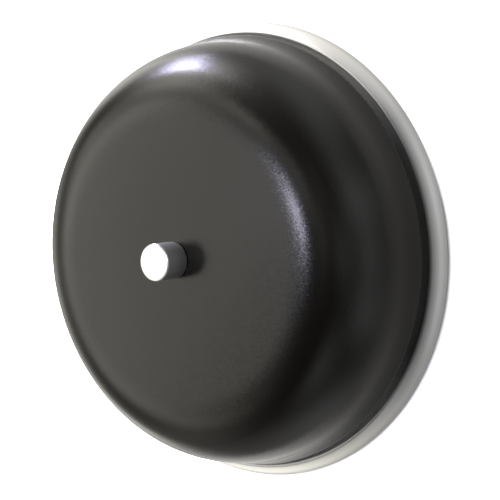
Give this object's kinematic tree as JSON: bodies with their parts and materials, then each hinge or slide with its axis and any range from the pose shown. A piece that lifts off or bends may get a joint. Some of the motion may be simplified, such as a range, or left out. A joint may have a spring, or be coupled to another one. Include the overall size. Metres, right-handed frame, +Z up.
{
  "type": "fire alarm bell",
  "caption": "Wall-mounted alarm bell with a black domed gong on a shallow silver base, a silver centre stud and a solenoid striker under the gong.",
  "frame": {"origin": "centre of the round base where its rear edge meets the wall", "axes": "+Z up, +X to the right seen from the front, the gong faces -Y and +Y points into the wall"},
  "size_m": [0.1596, 0.0508, 0.1596],
  "materials": {
    "gong_paint": "satin black stove enamel with a fine textured grain",
    "satin_silver": "satin silver",
    "zinc_steel": "bright zinc plate",
    "plain_steel": "plain machined steel",
    "brass": "machined brass",
    "silver_contact": "polished silver contact face",
    "copper_wire": "enamelled copper wire, layer wound",
    "black_rubber": "matt black rubber",
    "black_nylon": "black moulded nylon",
    "white_nylon": "natural nylon",
    "red_fibre": "vulcanised fibre",
    "board_green": "green circuit board",
    "terminal_grey": "moulded terminal plastic",
    "capacitor_yellow": "yellow film capacitor case",
    "lead_red": "red insulated lead",
    "lead_black": "black insulated lead"
  },
  "bodies": {
    "bell_body": {"back_plate": "satin_silver", "board_screw_left": "zinc_steel", "board_screw_right": "zinc_steel", "board_spacer_left": "zinc_steel", "board_spacer_right": "zinc_steel", "cable_grommet": "black_rubber", "centre_post": "zinc_steel", "chassis_screw_left": "zinc_steel", "chassis_screw_right": "zinc_steel", "chassis_screw_top": "zinc_steel", "circuit_board": "board_green", "coil_bobbin": "black_nylon", "coil_lead_red": "lead_red", "coil_winding": "copper_wire", "contact_insulator": "black_nylon", "contact_lead_black": "lead_black", "contact_pivot_post": "zinc_steel", "contact_screw": "brass", "core_buffer": "black_rubber", "fixed_contact": "silver_contact", "fixed_contact_strip": "brass", "fixed_pole": "plain_steel", "gong": "gong_paint", "gong_nut": "satin_silver", "gong_seat_washer": "red_fibre", "guide_bush": "white_nylon", "mechanism_chassis": "zinc_steel", "pivot_clip": "plain_steel", "post_locknut": "zinc_steel", "solenoid_yoke": "plain_steel", "suppression_capacitor": "capacitor_yellow", "suppression_diode": "black_nylon", "terminal_block": "terminal_grey", "terminal_screw_1": "zinc_steel", "terminal_screw_2": "zinc_steel", "terminal_screw_3": "zinc_steel", "terminal_screw_4": "zinc_steel", "wall_gasket": "black_rubber"},
    "striker": {"striker_rod": "plain_steel", "striker_head": "brass", "plunger_core": "plain_steel", "spring_collar": "brass", "contact_collar": "black_nylon", "return_spring": "plain_steel"},
    "contact_lever": {"contact_arm": "brass", "moving_contact": "silver_contact"}
  },
  "joints": [
    {"name": "striker_slide", "type": "slide", "parent": "bell_body", "child": "striker", "axis": [0, 0, -1], "range_m": [0, 0.003], "stiffness_N_per_m": 300, "springref_m": -0.002, "deforming": ["return_spring"]},
    {"name": "contact_rock", "type": "hinge", "parent": "bell_body", "child": "contact_lever", "pos_m": [-0.014, -0.019, -0.0115], "axis": [0, 1, 0], "range_deg": [0, 15.5]}
  ],
  "couplings": [
    {"joint": "contact_rock", "follows": "striker_slide", "rad_per_m": 88.5}
  ]
}
